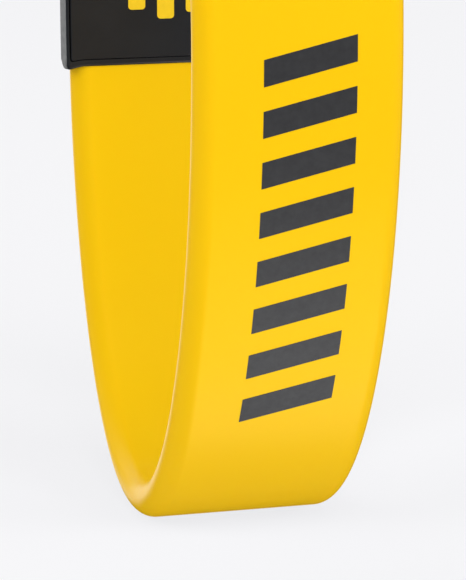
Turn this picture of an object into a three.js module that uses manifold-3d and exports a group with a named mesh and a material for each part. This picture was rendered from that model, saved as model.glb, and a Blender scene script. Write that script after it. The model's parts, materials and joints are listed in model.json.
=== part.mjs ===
// A silicone wristband, standing upright on the bottom of its loop, with a black magnetic sleeve clasp on its far wall.
// Millimetres. X runs across the band, Y goes through the loop from its near wall to the wall with the clasp, +Z is up.
// The origin is under the middle of the band, on the surface it stands on.
import * as THREE from 'three';
import { mergeVertices } from 'three/addons/utils/BufferGeometryUtils.js';
import Module from 'manifold-3d';

// ---- Driving dimensions ----
const loopHeight = 90;
const loopDepth = 49.2;
const bandWidth = 18.5;
const bandThickness = 3.44;
const restLength = 6.2;         // the band's own weight flattens its bottom this far along the loop

const claspLength = 17.5;
const claspCentre = 2.9;        // above the loop's centre
const claspOverhang = 0.6;      // past each edge of the band
const claspProud = 0.26;        // above each face of the band
const claspCornerRadius = 0.8;
const rimWidth = 0.35;          // the shell's rim round the inner cover
const coverRecess = 0.08;       // the cover's face lies this far below the rim

const neckInset = 0.6;          // the band's ends step in by this at each edge
const neckThickness = 2.6;
const neckLength = 1.4;
const insertWidth = 14;         // the tongue and the anchor plate
const insertThickness = 1.4;
const insertRoot = 8;           // how far each insert reaches into the band
const tongueReach = 8.4;        // from the clasp's mouth to the tongue's tip
const magnetLength = 2;
const magnetWidth = 5.8;
const keeperLength = 0.4;
const pinRadius = 0.8;
const pillarRadius = 1;
const screwHeadRadius = 0.9;
const screwRadius = 0.5;

const gap = 0.1;                // between pieces that stay together
const slideGap = 0.15;          // round the tongue and the band's lower end
const shoulderGap = 0.2;        // between the band's shoulders and the clasp's ends
const flexGap = 0.3;            // between the band's two arms at the flex line
const flexHeight = -1.5;        // the flex line, below the loop's centre

const stepAngle = THREE.MathUtils.degToRad(3.75);
const rowLength = 2;
const roundSides = 20;

// ---- Worked-out places ----
const halfDepth = loopDepth / 2;
const halfHeight = loopHeight / 2;
const halfWidth = bandWidth / 2;
const halfBand = bandThickness / 2;
const restAngle = Math.asin(restLength / 2 / halfDepth);
const loopCentre = { y: -claspProud / 2, z: halfHeight * Math.cos(restAngle) };
const claspHalfWidth = halfWidth + claspOverhang;
const claspHalfThickness = halfBand + claspProud;
const claspLow = claspCentre - claspLength / 2;
const claspHigh = claspCentre + claspLength / 2;
const neckHalfWidth = halfWidth - neckInset;
const neckHalf = neckThickness / 2;
const insertHalfWidth = insertWidth / 2;
const insertHalf = insertThickness / 2;
const mouthHalfWidth = neckHalfWidth + slideGap;
const mouthHalf = neckHalf + slideGap;
const seatFloor = -insertHalf - 2 * slideGap;
const tongueTip = claspLow + tongueReach;
const magnetLow = tongueTip + 2 * gap;
const keeperLow = magnetLow + magnetLength + gap;
const anchorLow = keeperLow + keeperLength + 3 * gap + rimWidth;
const pinHeight = anchorLow + 2.3;
const lowScrewHeight = claspLow + 3;
const highScrewHeight = claspHigh - 3;

const yellow = { color: 0xf7c914, roughness: 0.5, metalness: 0 };
const black = { color: 0x2a2a2b, roughness: 0.45, metalness: 0 };
const greyPlastic = { color: 0x4a4b4d, roughness: 0.5, metalness: 0 };
const steel = { color: 0xb9bbbe, roughness: 0.3, metalness: 1 };
const nickel = { color: 0xc9c7c0, roughness: 0.25, metalness: 1 };

// ---- Places on the band ----

// A point at an angle round the loop from its bottom towards the clasp, offset out from the band's mid-thickness.
function bandPoint(angle, offset) {
  const normal = new THREE.Vector2(halfHeight * Math.sin(angle), -halfDepth * Math.cos(angle)).normalize();
  const lift = offset - halfBand;
  return [
    loopCentre.y + halfDepth * Math.sin(angle) + lift * normal.x,
    loopCentre.z - halfHeight * Math.cos(angle) + lift * normal.y,
  ];
}

// The angle of a height above the loop's centre, on the wall with the clasp.
function farAngle(height) {
  return Math.acos(-height / halfHeight);
}

function onFarWall(height, offset) {
  return bandPoint(farAngle(height), offset);
}

// The band flexes about a line on the outer face of its near wall.
const flexAngle = -Math.acos(-flexHeight / halfHeight);
const flexLine = bandPoint(flexAngle, halfBand);
const flexRadius = onFarWall(flexHeight, 0)[0] - flexLine[0];

// A point on the arc that the clasp's middle travels about the flex line, so that the tongue leaves it freely.
function onOpeningArc(height, offset) {
  const angle = Math.asin((loopCentre.z + height - flexLine[1]) / flexRadius);
  const radius = flexRadius + offset;
  return [flexLine[0] + radius * Math.cos(angle), flexLine[1] + radius * Math.sin(angle)];
}

// Even steps round the loop between two ends. None falls in the flat that it rests on, only at the flat's two ends.
function loopAngles(from, to) {
  const fixed = [from, -restAngle, restAngle, to].filter((angle) => angle >= from && angle <= to);
  const even = [];
  for (let step = Math.ceil(from / stepAngle); step * stepAngle < to; step += 1) {
    even.push(step * stepAngle);
  }
  const apart = even.filter((angle) => (
    Math.abs(angle) > restAngle && fixed.every((end) => Math.abs(angle - end) > stepAngle / 4)
  ));
  return [...fixed, ...apart].sort((a, b) => a - b);
}

class BandPath extends THREE.Curve {
  constructor(angles) {
    super();
    this.angles = angles;
  }

  angleAt(share) {
    return this.angles[Math.round(share * (this.angles.length - 1))];
  }

  getPointAt(share) {
    const [y, z] = bandPoint(this.angleAt(share), 0);
    return new THREE.Vector3(0, y, z);
  }

  getTangentAt(share) {
    const angle = this.angleAt(share);
    return new THREE.Vector3(0, halfDepth * Math.cos(angle), halfHeight * Math.sin(angle)).normalize();
  }
}

// ---- Solids ----
const wasm = await Module();
wasm.setup();

function toSolid(geometry) {
  const bare = new THREE.BufferGeometry();
  bare.setAttribute('position', geometry.attributes.position);
  if (geometry.index) {
    bare.setIndex(geometry.index);
  }
  const merged = mergeVertices(bare, 1e-5);
  return new wasm.Manifold(new wasm.Mesh({
    numProp: 3,
    vertProperties: new Float32Array(merged.attributes.position.array),
    triVerts: new Uint32Array(merged.index.array),
  }));
}

function toGeometry(solid) {
  const mesh = solid.getMesh();
  const geometry = new THREE.BufferGeometry();
  geometry.setAttribute('position', new THREE.BufferAttribute(new Float32Array(mesh.vertProperties), 3));
  geometry.setIndex(new THREE.BufferAttribute(new Uint32Array(mesh.triVerts), 1));
  geometry.computeVertexNormals();
  return geometry;
}

function joined(first, ...others) {
  return others.reduce((whole, piece) => whole.add(piece), first);
}

function cut(first, ...others) {
  return others.reduce((whole, piece) => whole.subtract(piece), first);
}

// A rectangle with round corners; with its radius half of its height it has full-round ends.
function roundedSection(halfX, halfY, radius) {
  const quarter = Math.PI / 2;
  const section = new THREE.Shape();
  section.absarc(halfX - radius, halfY - radius, radius, 0, quarter, false);
  section.absarc(radius - halfX, halfY - radius, radius, quarter, 2 * quarter, false);
  section.absarc(radius - halfX, radius - halfY, radius, 2 * quarter, 3 * quarter, false);
  section.absarc(halfX - radius, radius - halfY, radius, 3 * quarter, 4 * quarter, false);
  section.closePath();
  return section;
}

function sweep(section, angles, curveSegments) {
  return toSolid(new THREE.ExtrudeGeometry(section, {
    steps: angles.length - 1,
    curveSegments,
    bevelEnabled: false,
    extrudePath: new BandPath(angles),
  }));
}

// A block across the band, between two offsets and two heights, bent along the wall or the opening arc.
function block(place, [left, right], [inner, outer], [low, high]) {
  const rows = Math.max(1, Math.ceil((high - low) / rowLength));
  const box = new THREE.BoxGeometry(right - left, outer - inner, high - low, 1, 1, rows);
  box.translate((left + right) / 2, (inner + outer) / 2, (low + high) / 2);
  const position = box.attributes.position;
  for (let i = 0; i < position.count; i += 1) {
    const [y, z] = place(position.getZ(i), position.getY(i));
    position.setXYZ(i, position.getX(i), y, z);
  }
  return toSolid(box);
}

function centred(half) {
  return [-half, half];
}

// A round post through the far wall's thickness.
function post(x, height, radius, [inner, outer]) {
  const [innerY, innerZ] = onFarWall(height, inner);
  const [outerY, outerZ] = onFarWall(height, outer);
  const axis = new THREE.Vector3(0, outerY - innerY, outerZ - innerZ);
  const cylinder = new THREE.CylinderGeometry(radius, radius, axis.length(), roundSides);
  cylinder.applyQuaternion(new THREE.Quaternion().setFromUnitVectors(
    new THREE.Vector3(0, 1, 0),
    axis.clone().normalize(),
  ));
  cylinder.translate(x, (innerY + outerY) / 2, (innerZ + outerZ) / 2);
  return toSolid(cylinder);
}

// ---- The band: one moulding in use, made here as two arms that meet at the flex line ----
const pillarX = 3.6;
const lowPillarHeight = claspLow - 4.6;
const highPillarHeight = claspHigh + 4.6;

function pillars(height) {
  return [-pillarX, pillarX].map((x) => post(x, height, pillarRadius, centred(insertHalf + 2 * gap)));
}

function bandArm(from, to, neck, slot, pillarHeight) {
  const section = roundedSection(halfWidth, halfBand, halfBand);
  const arm = joined(
    sweep(section, loopAngles(from, to), 4),
    block(onFarWall, centred(neckHalfWidth), centred(neckHalf), neck),
  );
  const hollow = block(onFarWall, centred(insertHalfWidth + gap), centred(insertHalf + gap), slot);
  return joined(cut(arm, hollow), ...pillars(pillarHeight));
}

function strapLower() {
  const shoulder = claspLow - shoulderGap;
  const neck = [shoulder - 1.5, claspLow + neckLength];
  const slot = [claspLow - insertRoot - gap, claspLow + neckLength + 1];
  const halfFlexGap = flexGap / 2 / halfHeight;
  return bandArm(flexAngle + halfFlexGap, farAngle(shoulder), neck, slot, lowPillarHeight);
}

function strapUpper() {
  const shoulder = claspHigh + shoulderGap;
  const neck = [claspHigh - neckLength, shoulder + 1.5];
  const slot = [claspHigh - neckLength - 1, claspHigh + insertRoot + gap];
  const halfFlexGap = flexGap / 2 / halfHeight;
  const end = 2 * Math.PI + flexAngle - halfFlexGap;
  return bandArm(farAngle(shoulder), end, neck, slot, highPillarHeight);
}

// ---- The tongue: a plate moulded into the band's lower end, with its magnets in its tip ----
const magnetInner = 0.4;
const tongueMagnetLow = tongueTip - magnetLength - gap;

function magnetPair(place, [inner, outer], [low, high], spare) {
  return [-1, 1].map((side) => {
    const near = magnetInner - spare;
    const far = magnetInner + magnetWidth + spare;
    const span = side > 0 ? [near, far] : [-far, -near];
    return block(place, span, [inner, outer], [low, high]);
  });
}

function tonguePlate() {
  const join = claspLow + neckLength - gap;
  const root = block(
    onFarWall,
    centred(insertHalfWidth),
    centred(insertHalf),
    [claspLow - insertRoot, join + gap],
  );
  const tongue = block(onOpeningArc, centred(insertHalfWidth), centred(insertHalf), [join, tongueTip]);
  const holes = [-pillarX, pillarX].map((x) => (
    post(x, lowPillarHeight, pillarRadius + gap, centred(insertThickness))
  ));
  const notches = magnetPair(
    onOpeningArc,
    centred(insertThickness),
    [tongueMagnetLow - gap, tongueTip + 1],
    gap,
  );
  return cut(joined(root, tongue), ...holes, ...notches);
}

function tongueMagnets() {
  return magnetPair(onOpeningArc, centred(insertHalf), [tongueMagnetLow, tongueTip - gap], 0);
}

// ---- The anchor: a plate moulded into the band's upper end, held in the clasp by two pins ----
const pinX = 4;
const pinEnds = [-claspHalfThickness + 0.45, claspHalfThickness - 0.55];

function anchorPlate() {
  const plate = block(
    onFarWall,
    centred(insertHalfWidth),
    centred(insertHalf),
    [anchorLow, claspHigh + insertRoot],
  );
  const pillarHoles = [-pillarX, pillarX].map((x) => (
    post(x, highPillarHeight, pillarRadius + gap, centred(insertThickness))
  ));
  const pinHoles = [-pinX, pinX].map((x) => post(x, pinHeight, pinRadius + gap, centred(insertThickness)));
  return cut(plate, ...pillarHoles, ...pinHoles);
}

function anchorPin(side) {
  return post(side * pinX, pinHeight, pinRadius, pinEnds);
}

// ---- The clasp: a shell, an inner cover let into its rim, magnets with a steel keeper, and four screws ----
const screwX = insertHalfWidth + 1.4;
const screwSeat = claspHalfThickness - 0.65;
const screwEnd = seatFloor - 0.6;

function screwPlaces() {
  const places = [];
  for (const height of [lowScrewHeight, highScrewHeight]) {
    for (const side of [-1, 1]) {
      places.push([side * screwX, height]);
    }
  }
  return places;
}

function mouths() {
  return [[claspLow - 1, claspLow + neckLength + slideGap], [claspHigh - neckLength - slideGap, claspHigh + 1]]
    .map((heights) => block(onFarWall, centred(mouthHalfWidth), centred(mouthHalf), heights));
}

function pinHoles() {
  const ends = [pinEnds[0] - gap, pinEnds[1] + gap];
  return [-pinX, pinX].map((x) => post(x, pinHeight, pinRadius + gap / 2, ends));
}

function claspShell() {
  const section = roundedSection(claspHalfWidth, claspHalfThickness, claspCornerRadius);
  const rows = Math.ceil(claspLength / rowLength);
  const angles = Array.from({ length: rows + 1 }, (_, i) => (
    farAngle(claspLow) + (i / rows) * (farAngle(claspHigh) - farAngle(claspLow))
  ));
  const coverSeat = block(
    onFarWall,
    centred(claspHalfWidth - rimWidth),
    [-claspHalfThickness - 1, seatFloor],
    [claspLow + rimWidth, claspHigh - rimWidth],
  );
  const roomHalfWidth = insertHalfWidth + slideGap;
  const roomOuter = insertHalf + slideGap;
  const tonguePocket = block(
    onOpeningArc,
    centred(roomHalfWidth),
    [seatFloor - 0.3, roomOuter],
    [claspLow + neckLength, tongueTip + gap],
  );
  const magnetSeat = block(
    onFarWall,
    centred(magnetInner + magnetWidth + gap),
    [seatFloor - 0.3, roomOuter],
    [tongueTip, keeperLow + keeperLength + gap],
  );
  const anchorSeat = block(
    onFarWall,
    centred(roomHalfWidth),
    [seatFloor - 0.3, roomOuter],
    [anchorLow - gap, claspHigh - neckLength],
  );
  const screwHoles = screwPlaces().flatMap(([x, height]) => [
    post(x, height, screwHeadRadius + gap, [screwSeat - gap, claspHalfThickness + 1]),
    post(x, height, screwRadius + gap, [seatFloor - 0.3, claspHalfThickness]),
  ]);
  return cut(
    sweep(section, angles, 3),
    coverSeat,
    tonguePocket,
    magnetSeat,
    anchorSeat,
    ...mouths(),
    ...pinHoles(),
    ...screwHoles,
  );
}

function claspCover() {
  const plate = block(
    onFarWall,
    centred(claspHalfWidth - rimWidth - gap),
    [-claspHalfThickness + coverRecess, seatFloor - gap / 2],
    [claspLow + rimWidth + gap, claspHigh - rimWidth - gap],
  );
  const screwHoles = screwPlaces().map(([x, height]) => (
    post(x, height, screwRadius + gap, [screwEnd - gap, claspHalfThickness])
  ));
  return cut(plate, ...mouths(), ...pinHoles(), ...screwHoles);
}

const magnetOffsets = [seatFloor + gap, insertHalf];

function claspMagnets() {
  return magnetPair(onFarWall, magnetOffsets, [magnetLow, magnetLow + magnetLength], 0);
}

function magnetKeeper() {
  const halfX = magnetInner + magnetWidth;
  return block(onFarWall, centred(halfX), magnetOffsets, [keeperLow, keeperLow + keeperLength]);
}

function coverScrew([x, height]) {
  const slotHalf = 0.12;
  const head = post(x, height, screwHeadRadius, [screwSeat, claspHalfThickness - 0.1]);
  const shank = post(x, height, screwRadius, [screwEnd, screwSeat + 0.1]);
  const slot = block(
    onFarWall,
    [x - screwHeadRadius - 1, x + screwHeadRadius + 1],
    [claspHalfThickness - 0.35, claspHalfThickness + 1],
    [height - slotHalf, height + slotHalf],
  );
  return cut(joined(head, shank), slot);
}

// ---- Assembly ----
const assembly = new THREE.Group();

function addPiece(name, solid, look) {
  const mesh = new THREE.Mesh(toGeometry(solid), new THREE.MeshStandardMaterial(look));
  mesh.name = name;
  assembly.add(mesh);
}

addPiece('strap_lower', strapLower(), yellow);
addPiece('strap_upper', strapUpper(), yellow);
addPiece('tongue_plate', tonguePlate(), greyPlastic);
tongueMagnets().forEach((magnet, i) => addPiece(`tongue_magnet_${i + 1}`, magnet, nickel));
addPiece('anchor_plate', anchorPlate(), greyPlastic);
[-1, 1].forEach((side, i) => addPiece(`anchor_pin_${i + 1}`, anchorPin(side), steel));
addPiece('clasp_shell', claspShell(), black);
addPiece('clasp_cover', claspCover(), black);
claspMagnets().forEach((magnet, i) => addPiece(`clasp_magnet_${i + 1}`, magnet, nickel));
addPiece('magnet_keeper', magnetKeeper(), steel);
screwPlaces().forEach((place, i) => addPiece(`cover_screw_${i + 1}`, coverScrew(place), steel));

export default assembly;
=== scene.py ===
"""A yellow silicone wristband on a pale floor, with a black magnetic sleeve clasp on its far wall."""

import json
import math

import bmesh
import bpy
from mathutils import Matrix, Vector


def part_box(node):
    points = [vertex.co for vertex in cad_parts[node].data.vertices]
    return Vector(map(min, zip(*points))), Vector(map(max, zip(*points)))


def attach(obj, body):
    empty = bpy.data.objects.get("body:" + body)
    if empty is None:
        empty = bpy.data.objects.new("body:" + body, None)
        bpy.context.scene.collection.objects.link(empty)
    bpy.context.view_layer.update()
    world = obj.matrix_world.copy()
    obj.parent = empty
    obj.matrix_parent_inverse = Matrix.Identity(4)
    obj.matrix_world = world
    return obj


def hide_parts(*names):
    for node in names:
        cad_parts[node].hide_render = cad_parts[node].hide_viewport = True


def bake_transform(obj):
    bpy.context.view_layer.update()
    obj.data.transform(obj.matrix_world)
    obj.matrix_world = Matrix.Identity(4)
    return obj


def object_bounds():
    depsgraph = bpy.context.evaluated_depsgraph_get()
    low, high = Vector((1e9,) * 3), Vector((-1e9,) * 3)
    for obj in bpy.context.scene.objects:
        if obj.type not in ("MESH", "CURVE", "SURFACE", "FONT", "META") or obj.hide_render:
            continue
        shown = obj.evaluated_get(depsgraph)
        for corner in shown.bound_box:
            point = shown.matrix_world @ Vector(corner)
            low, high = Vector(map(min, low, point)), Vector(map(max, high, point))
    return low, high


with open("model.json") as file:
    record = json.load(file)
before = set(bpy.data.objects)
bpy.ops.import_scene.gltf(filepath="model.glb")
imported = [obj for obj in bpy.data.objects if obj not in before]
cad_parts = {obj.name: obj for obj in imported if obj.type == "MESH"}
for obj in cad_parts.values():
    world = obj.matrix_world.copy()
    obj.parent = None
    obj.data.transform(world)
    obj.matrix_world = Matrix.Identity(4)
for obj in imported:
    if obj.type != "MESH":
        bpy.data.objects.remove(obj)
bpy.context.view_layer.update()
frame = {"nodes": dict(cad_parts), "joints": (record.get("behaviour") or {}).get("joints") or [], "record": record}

MM = 0.001

# ---- Sizes that the frame gives, in millimetres ----
lower_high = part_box("strap_lower")[1] / MM
upper_low, upper_high = (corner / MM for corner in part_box("strap_upper"))
shell_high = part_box("clasp_shell")[1] / MM
HALF_WIDTH = lower_high.x
SHELL_HALF_WIDTH = shell_high.x
flex_place = Vector(frame["joints"][0]["pos_m"]) / MM

# ---- The band, in millimetres ----
THICKNESS = 3.44
HALF_DEPTH = 24.6                # of the loop
HALF_HEIGHT = 45
NECK_INSET = 0.6                 # the band's ends step in to necks that sit in the clasp
NECK_HALF = 1.3
NECK_LENGTH = 1.4
NECK_ROUND = 0.6
SHOULDER_GAP = 0.03              # between the band's shoulders and the clasp's ends
SHOULDER_ROUND = 0.08
INSERT_HALF_WIDTH = 7            # the stiff plates moulded into the band's ends
INSERT_HALF = 0.7
SLOT_DEPTH = NECK_LENGTH + 8.1   # how far the plates' slots reach into the band
SLOT_ROUND = 0.2
FLEX_REACH = 23                  # the near wall's middle piece reaches this far above and below the flex line
PART_GAP = 0.1                   # between pieces that stay together
INK = 0.03                       # how far print stands out

# ---- The clasp's shape, in millimetres ----
CLASP_LENGTH = 17.5
CLASP_CENTRE = 2.9               # above the loop's centre
CLASP_PROUD = 0.26               # how far the clasp stands out past the band
SIDE_PROUD = 0.11                # how far the shell's sides stand out past the CAD's
SIDE_ROUND = 1.4                 # along the outer edges of the sides
SHELL_CORNER = 0.35
SHELL_INNER_ROUND = 0.28
SHELL_OUTER_ROUND = 0.3
SIDE_RIM = 0.27                  # the shell's rim round its cover, along the sides
END_RIM = 0.58                   # and at the ends
SEAT_CORNER = 0.3
LEDGE = 0.3                      # the cover's ends rest on a ledge in the shell
COVER_RECESS = 0.08              # below the shell's rim
COVER_SIDE_GAP = 0.14
COVER_END_GAP = 0.02             # at its ends and over the ledges
COVER_FLOOR_GAP = 0.05           # over the seat between the ledges
COVER_CORNER = 0.25
COVER_ROUND = 0.12
FINE_ROUND = 0.05                # on every other sharp edge
INNER_EDGE = 0.12                # how much is broken off the edges of the pieces inside the clasp

# ---- How the clasp's ends lap over the band on the wrist side and draw back on the outer side ----
LIP_REACH = 0.17                 # how far they lap over,
CORNER_REACH = 0.48              # and how far at the corners
CORNER_DROP = 0.42               # how far the outer corners draw back
CORNER_ACROSS = (HALF_WIDTH - 1.1, HALF_WIDTH + 0.7)    # where across the clasp the corners' reach
DROP_ACROSS = (HALF_WIDTH - 2.75, HALF_WIDTH + 0.7)     # and their drop start and are full
INNER_TO_OUTER = (-0.1, 1.0)     # where through the thickness the one turns into the other
REACH_FADE = 1.5                 # how far in from the ends they fade out
LAP_GAP = 0.05                   # between the band and the ends that lap over it
LAP_START = 0.01                 # how far past the clasp's ends the room for the band starts

# ---- Worked-out sizes, in millimetres ----
HALF_BAND = THICKNESS / 2
SHELL_HALF = HALF_BAND + CLASP_PROUD
SHELL_SIDE = SHELL_HALF_WIDTH + SIDE_PROUD
CLASP_LOW = CLASP_CENTRE - CLASP_LENGTH / 2
CLASP_HIGH = CLASP_CENTRE + CLASP_LENGTH / 2
LOOP_Y = upper_low.y + HALF_DEPTH
LOOP_Z = upper_high.z - HALF_HEIGHT
FLEX_HEIGHT = flex_place.z - LOOP_Z

# ---- Inside the clasp, in millimetres ----
SLIDE_GAP = 0.15                 # round the tongue and the necks
SEAT_FLOOR = -(INSERT_HALF + 2 * SLIDE_GAP)
LEDGE_FLOOR = -(NECK_HALF + 2 * SLIDE_GAP)
TONGUE_TIP = CLASP_LOW + 8.4     # in flat clasp space, as all heights here are
MAGNET_ROOM_END = TONGUE_TIP + 2.8
ANCHOR_ROOM_START = TONGUE_TIP + 3.25
HOLE_GAP = 0.08                  # round a pin or a screw's shank
PIN_X = 4
PIN_HEIGHT = TONGUE_TIP + 5.65
PIN_RADIUS = 0.8
PIN_ENDS = (0.45 - SHELL_HALF, SHELL_HALF - 0.55)
SCREW_X = INSERT_HALF_WIDTH + 1.4
SCREW_HEIGHTS = (CLASP_LOW + 3, CLASP_HIGH - 3)
SCREW_HEAD_RADIUS = 0.9
SCREW_RADIUS = 0.5
SCREW_TOP = SHELL_HALF - 0.25
SCREW_SEAT = SHELL_HALF - 0.75
SCREW_END = SEAT_FLOOR - 0.6
SCREW_SLOT_DEPTH = 0.25
SCREW_SLOT_HALF = 0.12

# ---- How finely shapes are made ----
ROUND_STEPS = 14                 # in each corner of a section
FLAT_STEPS = 4                   # along each of its sides
NEARLY_FULL = 0.999              # of a full round, so that a side is never left with no length
SLOT_ROWS = 6
SHOULDER_STEPS = 4
SIDE_STEPS = 12
HOLE_SIDES = 32
SCREW_SIDES = 64
SAME_PLACE = 1e-5                # points closer than this, in millimetres, count as in one place
SLIVER = 0.001                   # points closer than this are left over from carving
OVERRUN = 1                      # how far a cutter runs on past what it cuts
SHORT_OVERRUN = 0.3


# ---- Places on the loop ----
def loop_point(angle, offset):
    """A point at an angle round the loop from its bottom towards the clasp.

    The offset is outwards from the middle of the band's thickness.
    """
    sine, cosine = math.sin(angle), math.cos(angle)
    normal = Vector((0, HALF_HEIGHT * sine, -HALF_DEPTH * cosine)).normalized()
    surface = Vector((0, LOOP_Y + HALF_DEPTH * sine, LOOP_Z - HALF_HEIGHT * cosine))
    return surface + (offset - HALF_BAND) * normal


def far_angle(height):
    """The angle of a height above the loop's centre, on the wall with the clasp."""
    return math.acos(-height / HALF_HEIGHT)


def near_angle(height):
    """The same on the near wall, counted on from the bottom the other way."""
    return -math.acos(-height / HALF_HEIGHT)


def bend(point):
    """From flat clasp space (across, out, up) onto the far wall."""
    place = loop_point(far_angle(point.z), point.y)
    return Vector((point.x, place.y, place.z))


# ---- Materials ----
def new_material(name):
    """A material with an output and one Principled shader, and the tree to add nodes to."""
    made = bpy.data.materials.new(name)
    made.use_nodes = True
    tree = made.node_tree
    tree.nodes.clear()
    output = tree.nodes.new("ShaderNodeOutputMaterial")
    shader = tree.nodes.new("ShaderNodeBsdfPrincipled")
    tree.links.new(shader.outputs["BSDF"], output.inputs["Surface"])
    return made, tree, shader


def noise(tree, scale, detail=3.0, roughness=0.5):
    """Noise in the object's own space, with scale in features a metre."""
    place = tree.nodes.new("ShaderNodeTexCoord")
    texture = tree.nodes.new("ShaderNodeTexNoise")
    texture.inputs["Scale"].default_value = scale
    texture.inputs["Detail"].default_value = detail
    texture.inputs["Roughness"].default_value = roughness
    tree.links.new(place.outputs["Object"], texture.inputs["Vector"])
    return texture.outputs["Fac"]


def remap(tree, value, low, high):
    """Spread noise, which mostly stays between 0.25 and 0.75, from low to high."""
    node = tree.nodes.new("ShaderNodeMapRange")
    node.inputs["From Min"].default_value = 0.25
    node.inputs["From Max"].default_value = 0.75
    node.inputs["To Min"].default_value = low
    node.inputs["To Max"].default_value = high
    tree.links.new(value, node.inputs["Value"])
    return node.outputs["Result"]


def two_tone(tree, shader, value, dark, light):
    """A base colour that drifts with a value between a dark and a light tone."""
    ramp = tree.nodes.new("ShaderNodeValToRGB")
    ramp.color_ramp.elements[0].position = 0.3
    ramp.color_ramp.elements[0].color = (*dark, 1)
    ramp.color_ramp.elements[1].position = 0.7
    ramp.color_ramp.elements[1].color = (*light, 1)
    tree.links.new(value, ramp.inputs["Fac"])
    tree.links.new(ramp.outputs["Color"], shader.inputs["Base Color"])


def bump(tree, shader, value, height):
    """Relief of a height in metres."""
    node = tree.nodes.new("ShaderNodeBump")
    node.inputs["Strength"].default_value = 1.0
    node.inputs["Distance"].default_value = height
    tree.links.new(value, node.inputs["Height"])
    tree.links.new(node.outputs["Normal"], shader.inputs["Normal"])


def vary_roughness(tree, shader, value, low, high):
    tree.links.new(remap(tree, value, low, high), shader.inputs["Roughness"])


def silicone():
    """Satin silicone: a soft bloom, a faint drift of colour and a very fine moulded grain."""
    made, tree, shader = new_material("band_silicone")
    two_tone(tree, shader, noise(tree, 60), (0.940, 0.554, 0.0008), (0.960, 0.567, 0.0012))
    vary_roughness(tree, shader, noise(tree, 900), 0.30, 0.36)
    shader.inputs["Subsurface Weight"].default_value = 0.08
    shader.inputs["Subsurface Radius"].default_value = (1.0, 0.45, 0.05)
    shader.inputs["Subsurface Scale"].default_value = 0.6 * MM
    shader.inputs["Specular IOR Level"].default_value = 0.22
    shader.inputs["Specular Tint"].default_value = (1.0, 0.9, 0.45, 1)
    bump(tree, shader, noise(tree, 6000, 4.0, 0.6), 0.0012 * MM)
    return made


def moulded_plastic(name, dark, light, roughness, grain):
    """Satin moulded plastic with a fine grain, whose height is in metres."""
    made, tree, shader = new_material(name)
    two_tone(tree, shader, noise(tree, 250), dark, light)
    vary_roughness(tree, shader, noise(tree, 1800), roughness - 0.05, roughness + 0.05)
    shader.inputs["Specular IOR Level"].default_value = 0.25
    bump(tree, shader, noise(tree, 7000, 3.0, 0.6), grain)
    return made


def brushed_metal(name, dark, light, roughness):
    """Metal with fine brushed lines across the band's width."""
    made, tree, shader = new_material(name)
    shader.inputs["Metallic"].default_value = 0.8
    place = tree.nodes.new("ShaderNodeTexCoord")
    stretch = tree.nodes.new("ShaderNodeMapping")
    stretch.inputs["Scale"].default_value = (1.0, 12.0, 12.0)
    lines = tree.nodes.new("ShaderNodeTexNoise")
    lines.inputs["Scale"].default_value = 1200
    tree.links.new(place.outputs["Object"], stretch.inputs["Vector"])
    tree.links.new(stretch.outputs["Vector"], lines.inputs["Vector"])
    two_tone(tree, shader, lines.outputs["Fac"], dark, light)
    vary_roughness(tree, shader, lines.outputs["Fac"], roughness - 0.06, roughness + 0.08)
    bump(tree, shader, lines.outputs["Fac"], 0.001 * MM)
    return made


def printed_ink(name, dark, light, roughness):
    """Screen-printed ink: flat, with a slightly mottled gloss."""
    made, tree, shader = new_material(name)
    two_tone(tree, shader, noise(tree, 1500), dark, light)
    vary_roughness(tree, shader, noise(tree, 3500), roughness - 0.04, roughness + 0.06)
    shader.inputs["Specular IOR Level"].default_value = 0.3
    bump(tree, shader, noise(tree, 9000, 2.0), 0.0008 * MM)
    return made


LOOKS = {
    "band_silicone": silicone(),
    "clasp_plastic": moulded_plastic(
        "clasp_plastic", (0.0140, 0.0152, 0.0180), (0.0170, 0.0184, 0.0216), 0.34, 0.0012 * MM
    ),
    "insert_plastic": moulded_plastic(
        "insert_plastic", (0.055, 0.056, 0.060), (0.075, 0.076, 0.080), 0.5, 0.002 * MM
    ),
    "magnet_nickel": brushed_metal("magnet_nickel", (0.60, 0.58, 0.54), (0.70, 0.68, 0.63), 0.22),
    "steel": brushed_metal("steel", (0.42, 0.43, 0.45), (0.58, 0.59, 0.60), 0.32),
    "print_ink": printed_ink("print_ink", (0.025, 0.025, 0.027), (0.033, 0.033, 0.035), 0.46),
    "panel_ink": printed_ink("panel_ink", (0.88, 0.56, 0.006), (0.94, 0.60, 0.008), 0.5),
}


# ---- Meshes ----
def dress(piece, slot):
    """Give a piece the material of its slot."""
    piece.data.materials.clear()
    piece.data.materials.append(LOOKS[slot])
    return piece


def piece_from(name, mesh_data, slot, sharp_degrees=35):
    """A named piece from a bmesh, with smooth shading that breaks at sharp edges."""
    bmesh.ops.recalc_face_normals(mesh_data, faces=mesh_data.faces)
    mesh = bpy.data.meshes.new(name)
    mesh_data.to_mesh(mesh)
    mesh_data.free()
    mesh.transform(Matrix.Scale(MM, 4))
    mesh.shade_smooth()
    mesh.set_sharp_from_angle(angle=math.radians(sharp_degrees))
    piece = bpy.data.objects.new(name, mesh)
    piece.visible_diffuse = slot != "band_silicone"    # the floor and the clasp take no yellow cast
    bpy.context.scene.collection.objects.link(piece)
    return dress(piece, slot)


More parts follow.
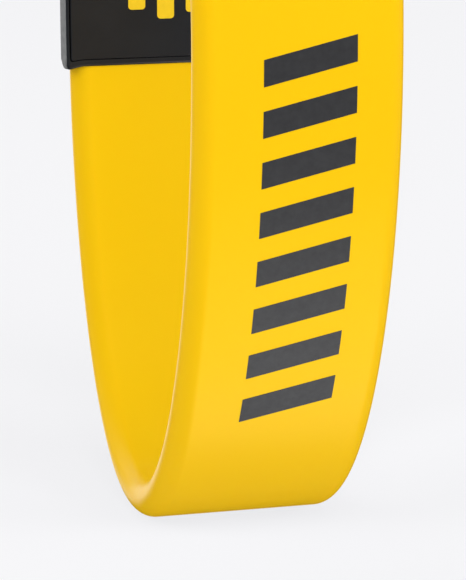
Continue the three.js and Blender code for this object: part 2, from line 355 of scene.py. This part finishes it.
def section(half_x, half_v, radius):
    """Points round a rectangle with round corners, as many on each, so that sections loft together."""
    corners = [
        (half_x - radius, half_v - radius, 0),
        (radius - half_x, half_v - radius, 1),
        (radius - half_x, radius - half_v, 2),
        (half_x - radius, radius - half_v, 3),
    ]
    points = []
    for x, v, quarter in corners:
        for step in range(ROUND_STEPS + 1):
            turn = (quarter + step / ROUND_STEPS) * math.pi / 2
            points.append((x + radius * math.cos(turn), v + radius * math.sin(turn)))
        following = corners[(quarter + 1) % 4]
        start_x, start_v = points[-1]
        turn = (quarter + 1) * math.pi / 2
        end_x, end_v = following[0] + radius * math.cos(turn), following[1] + radius * math.sin(turn)
        for step in range(1, FLAT_STEPS):
            share = step / FLAT_STEPS
            points.append((start_x + share * (end_x - start_x), start_v + share * (end_v - start_v)))
    return points


def band_section(inset=0.0):
    """The band's own section, with full-round edges, drawn in all round by an inset."""
    half = HALF_BAND - inset
    return section(HALF_WIDTH - inset, half, half * NEARLY_FULL)


def loft(rings):
    """A closed solid through rings of (angle, section points)."""
    made = bmesh.new()
    rows = []
    for angle, points in rings:
        row = []
        for x, v in points:
            place = loop_point(angle, v)
            row.append(made.verts.new((x, place.y, place.z)))
        rows.append(row)
    count = len(rows[0])
    for first, second in zip(rows, rows[1:]):
        for i in range(count):
            j = (i + 1) % count
            made.faces.new((first[i], first[j], second[j], second[i]))
    made.faces.new(rows[0])
    made.faces.new(list(reversed(rows[-1])))
    return made


def angles_between(start, end, step_degrees=0.75, end_step_degrees=0.02):
    """Evenly spaced angles with a tiny step at each end, so that shading runs on across a seam."""
    tiny = math.copysign(math.radians(end_step_degrees), end - start)
    count = max(2, round(abs(end - start) / math.radians(step_degrees)))
    middle = [start + (end - start) * i / count for i in range(1, count)]
    return [start, start + tiny, *middle, end - tiny, end]


# ---- The band ----
BAND_SECTION = band_section()
NECK_SECTION = section(HALF_WIDTH - NECK_INSET, NECK_HALF, NECK_ROUND)
SLOT_SECTION = section(INSERT_HALF_WIDTH + PART_GAP, INSERT_HALF + PART_GAP, SLOT_ROUND)


def band_end(shoulder, neck_tip):
    """Rings from the bottom of an insert's slot out over the neck and up the band's shoulder."""
    towards_band = math.copysign(1, shoulder - neck_tip)
    rings = []
    for row in range(SLOT_ROWS + 1):
        height = neck_tip + towards_band * SLOT_DEPTH * (1 - row / SLOT_ROWS)
        rings.append((far_angle(height), SLOT_SECTION))
    rings += [(far_angle(neck_tip), NECK_SECTION), (far_angle(shoulder), NECK_SECTION)]
    for step in range(SHOULDER_STEPS + 1):
        turn = step / SHOULDER_STEPS * math.pi / 2
        inset = SHOULDER_ROUND * (1 - math.sin(turn))
        height = shoulder + towards_band * SHOULDER_ROUND * (1 - math.cos(turn))
        rings.append((far_angle(height), band_section(inset)))
    return rings


def make_band():
    """The band's two arms, and the stretch of the near wall between them."""
    low_cut = near_angle(FLEX_HEIGHT - FLEX_REACH)
    high_cut = near_angle(FLEX_HEIGHT + FLEX_REACH)
    low_shoulder = CLASP_LOW - SHOULDER_GAP
    high_shoulder = CLASP_HIGH + SHOULDER_GAP

    rings = band_end(low_shoulder, CLASP_LOW + NECK_LENGTH)
    start = rings[-1][0]
    rings += [(angle, BAND_SECTION) for angle in angles_between(start, low_cut)[1:]]
    lower = piece_from("band_lower", loft(rings), "band_silicone")
    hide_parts("strap_lower")
    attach(lower, "lower_arm")

    rings = [(angle, BAND_SECTION) for angle in angles_between(low_cut, high_cut)]
    flex = piece_from("band_flex", loft(rings), "band_silicone")
    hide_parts("strap_lower", "strap_upper")
    blend_near_wall(flex)

    rings = band_end(high_shoulder, CLASP_HIGH - NECK_LENGTH)
    start = rings[-1][0]
    rings += [(angle, BAND_SECTION) for angle in angles_between(start, high_cut + 2 * math.pi)[1:]]
    upper = piece_from("band_upper", loft(rings), "band_silicone")
    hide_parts("strap_upper")
    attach(upper, "upper_arm")


def blend_near_wall(piece):
    """Bakes the piece's transform into its mesh; it is not made to bend."""
    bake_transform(piece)


# ---- The print on the near wall: plain slanted bars ----
BAR_HALF_LENGTH = 4.1
BAR_MIDDLE = 0.6                 # across the band, from its middle
BAR_HEIGHT = 2.3
BAR_SLANT = 1.9                  # how much higher one end of a bar is than the other
BAR_SPACING = 4.37
BAR_COUNT = 8
BARS_TOP = 1.4                   # above the loop's centre
BAR_ROWS = 6
BAR_COLUMNS = 8


def near_wall_patch(made, outline_rows, inner, outer):
    """A thin closed plate on the near wall through rows of (x, height) points."""
    sheets = []
    for offset in (inner, outer):
        sheet = []
        for row in outline_rows:
            line = []
            for x, height in row:
                place = loop_point(near_angle(height), offset)
                line.append(made.verts.new((x, place.y, place.z)))
            sheet.append(line)
        sheets.append(sheet)
    rows, columns = len(outline_rows), len(outline_rows[0])
    low, high = sheets
    for i in range(rows - 1):
        for j in range(columns - 1):
            made.faces.new((low[i][j], low[i][j + 1], low[i + 1][j + 1], low[i + 1][j]))
            made.faces.new((high[i][j], high[i + 1][j], high[i + 1][j + 1], high[i][j + 1]))
    border = [(0, j) for j in range(columns)]
    border += [(i, columns - 1) for i in range(1, rows)]
    border += [(rows - 1, j) for j in range(columns - 2, -1, -1)]
    border += [(i, 0) for i in range(rows - 2, 0, -1)]
    for (i, j), (k, l) in zip(border, border[1:] + border[:1]):
        made.faces.new((low[i][j], high[i][j], high[k][l], low[k][l]))


def make_print():
    """A column of slanted bars up the near wall."""
    made = bmesh.new()
    for bar in range(BAR_COUNT):
        top = BARS_TOP - bar * BAR_SPACING
        grid = []
        for i in range(BAR_ROWS + 1):
            line = []
            for j in range(BAR_COLUMNS + 1):
                share = j / BAR_COLUMNS - 0.5
                x = BAR_MIDDLE + 2 * BAR_HALF_LENGTH * share
                slant = BAR_SLANT * share
                line.append((x, top + slant - BAR_HEIGHT * i / BAR_ROWS))
            grid.append(line)
        near_wall_patch(made, grid, HALF_BAND - INK, HALF_BAND + INK)
    bars = piece_from("printed_bars", made, "print_ink", sharp_degrees=50)
    blend_near_wall(bars)


# ---- The clasp, made flat and then bent onto the far wall ----
def flat_slab(left, right, inner, outer, low, high):
    """A plain block, in flat space."""
    made = bmesh.new()
    bmesh.ops.create_cube(made, size=1)
    for vert in made.verts:
        vert.co.x = left if vert.co.x < 0 else right
        vert.co.y = inner if vert.co.y < 0 else outer
        vert.co.z = low if vert.co.z < 0 else high
    return made


def edges_where(made, test):
    return [edge for edge in made.edges if test(edge)]


def runs_out(edge):
    """Whether an edge runs through the wall's thickness."""
    step = edge.verts[1].co - edge.verts[0].co
    return abs(step.y) > 0.9 * step.length


def at_offset(offset):
    """A test for edges that lie at one offset through the thickness."""
    return lambda edge: all(abs(vert.co.y - offset) < SAME_PLACE for vert in edge.verts)


def round_off(made, edges, radius, segments):
    """Round some edges to a radius, as far as there is room."""
    bmesh.ops.bevel(
        made,
        geom=edges,
        offset=radius,
        offset_type="OFFSET",
        segments=segments,
        profile=0.5,
        affect="EDGES",
        clamp_overlap=True,
    )


def rounded_slab(spans, corner, inner_round=0.0, outer_round=0.0, segments=6):
    """A slab with round corners, and its inner and outer edges rounded too where asked."""
    made = flat_slab(*spans)
    round_off(made, edges_where(made, runs_out), corner, segments + 2)
    if outer_round:
        round_off(made, edges_where(made, at_offset(spans[3])), outer_round, segments)
    if inner_round:
        round_off(made, edges_where(made, at_offset(spans[2])), inner_round, segments)
    return made


def as_object(made, name="tool"):
    """A plain object from a bmesh, only for carving."""
    mesh = bpy.data.meshes.new(name)
    bmesh.ops.recalc_face_normals(made, faces=made.faces)
    made.to_mesh(mesh)
    made.free()
    thing = bpy.data.objects.new(name, mesh)
    bpy.context.scene.collection.objects.link(thing)
    return thing


def carved(made, cutters):
    """A bmesh with the cutters' solids taken out of it."""
    body = as_object(made, "carving")
    tools = [as_object(cutter) for cutter in cutters]
    for tool in tools:
        modifier = body.modifiers.new("cut", "BOOLEAN")
        modifier.operation = "DIFFERENCE"
        modifier.solver = "EXACT"
        modifier.object = tool
    bpy.context.view_layer.update()
    evaluated = body.evaluated_get(bpy.context.evaluated_depsgraph_get())
    result = bmesh.new()
    result.from_mesh(evaluated.to_mesh())
    evaluated.to_mesh_clear()
    bmesh.ops.remove_doubles(result, verts=result.verts, dist=SLIVER)
    for thing in [body, *tools]:
        mesh = thing.data
        bpy.data.objects.remove(thing)
        bpy.data.meshes.remove(mesh)
    return result


def break_edges(made, segments=2, least_degrees=50):
    """A fine round along every edge that is still sharp."""
    bmesh.ops.dissolve_limit(
        made, angle_limit=math.radians(1), verts=made.verts, edges=made.edges
    )
    sharp = [
        edge for edge in made.edges
        if edge.is_manifold and edge.calc_face_angle(0) > math.radians(least_degrees)
    ]
    round_off(made, sharp, FINE_ROUND, segments)


def cut_across(made, place, facing):
    """A row of edges where a plane meets the piece."""
    bmesh.ops.bisect_plane(
        made,
        geom=[*made.verts, *made.edges, *made.faces],
        plane_co=place,
        plane_no=facing,
        dist=SAME_PLACE,
    )


def bent(made, row=0.5):
    """Rows of edges across the piece, then every point moved onto the far wall."""
    heights = [vert.co.z for vert in made.verts]
    low, high = min(heights), max(heights)
    count = max(1, math.ceil((high - low) / row))
    for i in range(1, count):
        cut_across(made, (0, 0, low + (high - low) * i / count), (0, 0, 1))
    for vert in made.verts:
        vert.co = bend(vert.co)
    return made


def settle_normals(piece):
    """Flat faces beside small rounds shade as flat."""
    modifier = piece.modifiers.new("flat faces stay flat", "WEIGHTED_NORMAL")
    modifier.keep_sharp = True
    modifier.weight = 100


def cylinder(x, height, radius, inner, outer):
    """A round post through the thickness, in flat space."""
    made = bmesh.new()
    bmesh.ops.create_cone(
        made,
        cap_ends=True,
        segments=HOLE_SIDES,
        radius1=radius,
        radius2=radius,
        depth=outer - inner,
    )
    for vert in made.verts:
        x_now, y_now, z_now = vert.co
        vert.co = Vector((x + x_now, (inner + outer) / 2 + z_now, height - y_now))
    return made


def screw_places():
    """Where the four screws are: (across, height)."""
    return [(side * SCREW_X, height) for height in SCREW_HEIGHTS for side in (-1, 1)]


def prism(outline, low, high):
    """A solid along the band's length from a closed outline of (across, out) points."""
    made = bmesh.new()
    bottom = [made.verts.new((x, v, low)) for x, v in outline]
    top = [made.verts.new((x, v, high)) for x, v in outline]
    for i in range(len(outline)):
        j = (i + 1) % len(outline)
        made.faces.new((bottom[i], bottom[j], top[j], top[i]))
    made.faces.new(bottom)
    made.faces.new(top)
    return made


def side_rounder(side):
    """What comes off the shell's outer corner on one side to leave it round."""
    outside_x = side * (SHELL_SIDE + SHORT_OVERRUN)
    outside_v = SHELL_HALF + SHORT_OVERRUN
    outline = [(outside_x, outside_v), (side * (SHELL_SIDE - SIDE_ROUND), outside_v)]
    for step in range(SIDE_STEPS + 1):
        turn = step / SIDE_STEPS * math.pi / 2
        x = SHELL_SIDE - SIDE_ROUND + SIDE_ROUND * math.sin(turn)
        v = SHELL_HALF - SIDE_ROUND + SIDE_ROUND * math.cos(turn)
        outline.append((side * x, v))
    outline.append((outside_x, SHELL_HALF - SIDE_ROUND))
    return prism(outline, CLASP_LOW - OVERRUN, CLASP_HIGH + OVERRUN)


def seats():
    """The cover's recess in the shell: shallow over the ledges, and deeper between them."""
    made = []
    for floor, ledge in ((LEDGE_FLOOR, 0), (SEAT_FLOOR, LEDGE)):
        spans = (
            SIDE_RIM - SHELL_SIDE, SHELL_SIDE - SIDE_RIM,
            -2 * SHELL_HALF, floor,
            CLASP_LOW + END_RIM + ledge, CLASP_HIGH - END_RIM - ledge,
        )
        made.append(rounded_slab(spans, SEAT_CORNER))
    return made


def mouths():
    """The openings in the clasp's two ends for the band's necks."""
    mouth_x = HALF_WIDTH - NECK_INSET + SLIDE_GAP
    mouth_v = NECK_HALF + SLIDE_GAP
    low_end = CLASP_LOW + NECK_LENGTH + SLIDE_GAP
    high_end = CLASP_HIGH - NECK_LENGTH - SLIDE_GAP
    return [
        flat_slab(-mouth_x, mouth_x, -mouth_v, mouth_v, CLASP_LOW - OVERRUN, low_end),
        flat_slab(-mouth_x, mouth_x, -mouth_v, mouth_v, high_end, CLASP_HIGH + OVERRUN),
    ]


def rooms():
    """The pocket for the tongue and the magnets, and the room for the anchor plate."""
    room_x = INSERT_HALF_WIDTH + SLIDE_GAP
    room_v = INSERT_HALF + SLIDE_GAP
    heights = (
        (CLASP_LOW + NECK_LENGTH, MAGNET_ROOM_END),
        (ANCHOR_ROOM_START, CLASP_HIGH - NECK_LENGTH),
    )
    return [
        flat_slab(-room_x, room_x, SEAT_FLOOR - SHORT_OVERRUN, room_v, low, high)
        for low, high in heights
    ]


def pin_holes():
    """The blind holes that the anchor plate's two pins sit in."""
    radius = PIN_RADIUS + HOLE_GAP
    return [
        cylinder(x, PIN_HEIGHT, radius, PIN_ENDS[0] - PART_GAP, PIN_ENDS[1] + PART_GAP)
        for x in (-PIN_X, PIN_X)
    ]


def screw_holes():
    """Where the screws' shanks run through the shell and end in the cover."""
    radius = SCREW_RADIUS + HOLE_GAP
    return [
        cylinder(x, height, radius, SCREW_END - PART_GAP, SCREW_SEAT) for x, height in screw_places()
    ]


def counterbores():
    """The wells that the screws' heads sit in."""
    radius = SCREW_HEAD_RADIUS + PART_GAP
    return [
        cylinder(x, height, radius, SCREW_SEAT - PART_GAP, 2 * SHELL_HALF)
        for x, height in screw_places()
    ]


def band_room():
    """What the ends that lap over the band must stay clear of."""
    outline = section(HALF_WIDTH + LAP_GAP, HALF_BAND + LAP_GAP, HALF_BAND)
    return [
        prism(outline, CLASP_LOW - 2 * OVERRUN, CLASP_LOW - LAP_START),
        prism(outline, CLASP_HIGH + LAP_START, CLASP_HIGH + 2 * OVERRUN),
    ]


def ease(value, start, end):
    """A smooth step from 0 at start to 1 at end."""
    share = min(1, max(0, (value - start) / (end - start)))
    return share * share * (3 - 2 * share)


def draw_out_ends(made, cuts=10):
    """Move the clasp's ends out over the band on the wrist side, and their outer corners back."""
    for i in range(cuts + 1):
        x, v = (start + (end - start) * i / cuts for start, end in (DROP_ACROSS, INNER_TO_OUTER))
        cut_across(made, (x, 0, 0), (1, 0, 0))
        cut_across(made, (-x, 0, 0), (1, 0, 0))
        cut_across(made, (0, v, 0), (0, 1, 0))
    for vert in made.verts:
        x, v, z = vert.co
        inner = LIP_REACH + (CORNER_REACH - LIP_REACH) * ease(abs(x), *CORNER_ACROSS)
        outer = -CORNER_DROP * ease(abs(x), *DROP_ACROSS)
        reach = inner + (outer - inner) * ease(v, *INNER_TO_OUTER)
        below = max(0, 1 - (z - CLASP_LOW) / REACH_FADE)
        above = max(0, 1 - (CLASP_HIGH - z) / REACH_FADE)
        vert.co.z += reach * (above - below)


def make_shell():
    """The clasp's shell, with its inner cover's seat and the rooms for everything inside."""
    spans = (-SHELL_SIDE, SHELL_SIDE, -SHELL_HALF, SHELL_HALF, CLASP_LOW, CLASP_HIGH)
    body = rounded_slab(spans, SHELL_CORNER, SHELL_INNER_ROUND, SHELL_OUTER_ROUND)
    sides = [side_rounder(side) for side in (-1, 1)]
    holes = [*rooms(), *pin_holes(), *screw_holes(), *counterbores()]
    made = carved(body, [*sides, *seats(), *mouths(), *holes])
    break_edges(made)
    draw_out_ends(made)
    made = carved(made, band_room())
    shell = piece_from("clasp_shell_body", bent(made), "clasp_plastic", sharp_degrees=60)
    settle_normals(shell)
    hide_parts("clasp_shell")
    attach(shell, "upper_arm")


def make_cover():
    """The flat cover on the wrist side, thinner at its ends where it rests on the shell's ledges."""
    side = SHELL_SIDE - SIDE_RIM - COVER_SIDE_GAP
    low = CLASP_LOW + END_RIM + COVER_END_GAP
    high = CLASP_HIGH - END_RIM - COVER_END_GAP
    spans = (-side, side, -SHELL_HALF + COVER_RECESS, SEAT_FLOOR - COVER_FLOOR_GAP, low, high)
    made = rounded_slab(spans, COVER_CORNER, inner_round=COVER_ROUND, segments=4)
    underside = LEDGE_FLOOR - COVER_END_GAP
    ledges = [
        flat_slab(-2 * side, 2 * side, underside, 0, low - OVERRUN, low + LEDGE),
        flat_slab(-2 * side, 2 * side, underside, 0, high - LEDGE, high + OVERRUN),
    ]
    made = carved(made, [*ledges, *mouths(), *pin_holes(), *screw_holes()])
    draw_out_ends(made)
    cover = piece_from("clasp_cover_panel", bent(made), "clasp_plastic", sharp_degrees=60)
    settle_normals(cover)
    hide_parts("clasp_cover")
    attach(cover, "upper_arm")


# Plain upright bars printed on the cover: (across, half their height)
PANEL_BARS = ((-2.9, 3.3), (0, 4.3), (2.9, 3.7))
PANEL_BAR_HALF = 0.85
PANEL_BAR_CORNER = 0.35


def make_panel_mark():
    """Plain upright bars printed on the wrist side of the clasp."""
    made = bmesh.new()
    face = -SHELL_HALF + COVER_RECESS
    for x, half_height in PANEL_BARS:
        spans = (
            x - PANEL_BAR_HALF, x + PANEL_BAR_HALF,
            face - INK, face + INK,
            CLASP_CENTRE - half_height, CLASP_CENTRE + half_height,
        )
        bar = rounded_slab(spans, PANEL_BAR_CORNER, segments=4)
        mesh = bpy.data.meshes.new("bar")
        bent(bar).to_mesh(mesh)
        bar.free()
        made.from_mesh(mesh)
        bpy.data.meshes.remove(mesh)
    mark = piece_from("panel_bars", made, "panel_ink", sharp_degrees=50)
    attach(mark, "upper_arm")


def screw_blank(x, height):
    """A turned head and shank, in flat space."""
    profile = (
        (SCREW_RADIUS, SCREW_END), (SCREW_RADIUS, SCREW_SEAT),
        (SCREW_HEAD_RADIUS, SCREW_SEAT), (SCREW_HEAD_RADIUS, SCREW_TOP),
    )
    made = bmesh.new()
    turns = [2 * math.pi * i / SCREW_SIDES for i in range(SCREW_SIDES)]
    rings = []
    for radius, out in profile:
        rings.append([
            made.verts.new((x + radius * math.cos(turn), out, height + radius * math.sin(turn)))
            for turn in turns
        ])
    for first, second in zip(rings, rings[1:]):
        for i in range(SCREW_SIDES):
            j = (i + 1) % SCREW_SIDES
            made.faces.new((first[i], first[j], second[j], second[i]))
    made.faces.new(rings[0])
    made.faces.new(rings[-1])
    return made


def make_screws():
    """Four slotted screws that join the shell to its cover."""
    for i, (x, height) in enumerate(screw_places()):
        slot = flat_slab(
            x - 2 * SCREW_HEAD_RADIUS, x + 2 * SCREW_HEAD_RADIUS,
            SCREW_TOP - SCREW_SLOT_DEPTH, SCREW_TOP + OVERRUN,
            height - SCREW_SLOT_HALF, height + SCREW_SLOT_HALF,
        )
        made = carved(screw_blank(x, height), [slot])
        break_edges(made, segments=3)
        screw = piece_from(f"screw_{i + 1}", bent(made), "steel", sharp_degrees=60)
        settle_normals(screw)
        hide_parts(f"cover_screw_{i + 1}")
        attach(screw, "upper_arm")


def dress_inner_pieces():
    """The pieces inside the clasp keep their CAD shape, with their edges broken."""
    slots = {row["node"]: row["material_slot"] for row in frame["record"]["subparts"]}
    inner = ["tongue_plate", "anchor_plate", "magnet_keeper"]
    for pair in ("tongue_magnet", "clasp_magnet", "anchor_pin"):
        inner += [f"{pair}_1", f"{pair}_2"]
    for name in inner:
        piece = frame["nodes"][name]
        dress(piece, slots[name])
        joined = piece.modifiers.new("faces joined", "WELD")
        joined.merge_threshold = SLIVER * MM
        broken = piece.modifiers.new("broken edges", "BEVEL")
        broken.width = INNER_EDGE * MM
        broken.segments = 2
        broken.limit_method = "ANGLE"
        broken.angle_limit = math.radians(50)


# ---- Floor, light and camera ----
FLOOR_REACH = 4                  # metres each way
FLOOR_GLOW = 0.59                # the share of the floor's brightness that doesn't dim in shadow
FLOOR_GLOW_COLOUR = (0.9216, 0.9216, 0.9387, 1)
FLOOR_ALBEDO = 0.39
FLOOR_BLUE = 1.02                # how much more blue than red and green it returns
FLOOR_MOTTLE = 0.002


def floor_tone(lighter):
    return (FLOOR_ALBEDO + lighter, FLOOR_ALBEDO + lighter, FLOOR_BLUE * FLOOR_ALBEDO + lighter)


def make_floor():
    """A plain pale floor with a faint, neutral shadow, which reflections don't see."""
    made = bmesh.new()
    bmesh.ops.create_grid(made, x_segments=1, y_segments=1, size=FLOOR_REACH)
    mesh = bpy.data.meshes.new("floor")
    made.to_mesh(mesh)
    made.free()
    floor = bpy.data.objects.new("floor", mesh)
    floor.location.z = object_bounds()[0].z
    floor.visible_glossy = False
    bpy.context.scene.collection.objects.link(floor)
    paint, tree, shader = new_material("floor_paint")
    two_tone(tree, shader, noise(tree, 4), floor_tone(-FLOOR_MOTTLE), floor_tone(FLOOR_MOTTLE))
    shader.inputs["Roughness"].default_value = 1.0
    shader.inputs["Specular IOR Level"].default_value = 0.0
    shader.inputs["Emission Color"].default_value = FLOOR_GLOW_COLOUR
    shader.inputs["Emission Strength"].default_value = FLOOR_GLOW
    mesh.materials.append(paint)


# The studio round the object: (direction, the cosines where its glow starts and is full, strength)
STUDIO_GLOW = (
    ((0, 0, 1), (-0.15, 0.15), 0.58),              # the ceiling
    ((-0.15, 0.98, -0.12), (0.950, 0.990), 1.4),   # a card behind, seen only at grazing edges
    ((-0.43, 0.59, 0.61), (0.85, 0.97), 1.0),      # a card high up behind, on the left
    ((0.30, -0.54, -0.79), (0.875, 0.965), 4.2),   # the bright table in front
)
# Soft boxes that light the object and stay out of its reflections: (name, direction, watts)
SOFTBOXES = (
    ("key", (1.0, -1.0, 0.5), 15.5),
    ("front_top", (0.0, -1.0, 1.0), 12),
    ("low_front", (0.0, -1.0, 0.1), 3),
    ("left_fill", (-1.0, -0.6, 0.9), 10),
)
SOFTBOX_DISTANCE = 2.5           # metres
SOFTBOX_SIZE = 1.2


def make_world():
    """A plain studio, bright overhead, with the few cards that the glossy edges reflect."""
    world = bpy.data.worlds.new("studio")
    world.use_nodes = True
    world.cycles.sampling_method = "NONE"
    tree = world.node_tree
    place = tree.nodes.new("ShaderNodeTexCoord")
    total = None
    for direction, (start, full), strength in STUDIO_GLOW:
        towards = tree.nodes.new("ShaderNodeVectorMath")
        towards.operation = "DOT_PRODUCT"
        towards.inputs[1].default_value = Vector(direction).normalized()
        tree.links.new(place.outputs["Generated"], towards.inputs[0])
        glow = tree.nodes.new("ShaderNodeMapRange")
        glow.interpolation_type = "SMOOTHSTEP"
        glow.inputs["From Min"].default_value = start
        glow.inputs["From Max"].default_value = full
        glow.inputs["To Max"].default_value = strength
        tree.links.new(towards.outputs["Value"], glow.inputs["Value"])
        if total is None:
            total = glow.outputs["Result"]
        else:
            add = tree.nodes.new("ShaderNodeMath")
            tree.links.new(total, add.inputs[0])
            tree.links.new(glow.outputs["Result"], add.inputs[1])
            total = add.outputs["Value"]
    background = tree.nodes["Background"]
    background.inputs["Color"].default_value = (1, 1, 1, 1)
    tree.links.new(total, background.inputs["Strength"])
    bpy.context.scene.world = world


def make_softboxes():
    """Square lights round the object, all aimed at its middle."""
    aim = Vector((0, LOOP_Y, LOOP_Z)) * MM
    for name, direction, power in SOFTBOXES:
        data = bpy.data.lights.new(name, "AREA")
        data.shape = "SQUARE"
        data.size = SOFTBOX_SIZE
        data.energy = power
        light = bpy.data.objects.new(name, data)
        light.location = aim + Vector(direction).normalized() * SOFTBOX_DISTANCE
        light.rotation_euler = (aim - light.location).to_track_quat("-Z", "Y").to_euler()
        light.visible_camera = False
        light.visible_glossy = False
        bpy.context.scene.collection.objects.link(light)


CAMERA_TURN = math.radians(-15.98)
CAMERA_RISE = math.radians(11.88)
# From the loop's centre back to the camera, to its right and up, in half-heights of the loop
CAMERA_BACK = 6.079
CAMERA_RIGHT = 0.0183
CAMERA_UP = -0.5275
SENSOR = 36.0
LENS = 186.2


def make_camera():
    """A long-lens camera to the front left of the loop and a little above it."""
    turn, rise = CAMERA_TURN, CAMERA_RISE
    level = math.cos(rise)
    back = Vector((math.sin(turn) * level, -math.cos(turn) * level, math.sin(rise)))
    right = Vector((math.cos(turn), math.sin(turn), 0))
    up = back.cross(right)
    centre = Vector((0, LOOP_Y, LOOP_Z)) * MM
    data = bpy.data.cameras.new("camera")
    data.sensor_width = SENSOR
    data.lens = LENS
    data.clip_start = 0.01
    data.clip_end = 50
    camera = bpy.data.objects.new("camera", data)
    camera.location = centre + HALF_HEIGHT * MM * (
        CAMERA_BACK * back + CAMERA_RIGHT * right + CAMERA_UP * up
    )
    camera.rotation_euler = back.to_track_quat("Z", "Y").to_euler()
    bpy.context.scene.collection.objects.link(camera)
    bpy.context.scene.camera = camera


def make_studio():
    """The floor, the light, and colours shown as they are."""
    scene = bpy.context.scene
    scene.view_settings.view_transform = "Standard"
    scene.view_settings.look = "None"
    make_floor()
    make_world()
    make_softboxes()


make_camera()
make_band()
make_print()
make_shell()
make_cover()
make_panel_mark()
make_screws()
dress_inner_pieces()
make_studio()
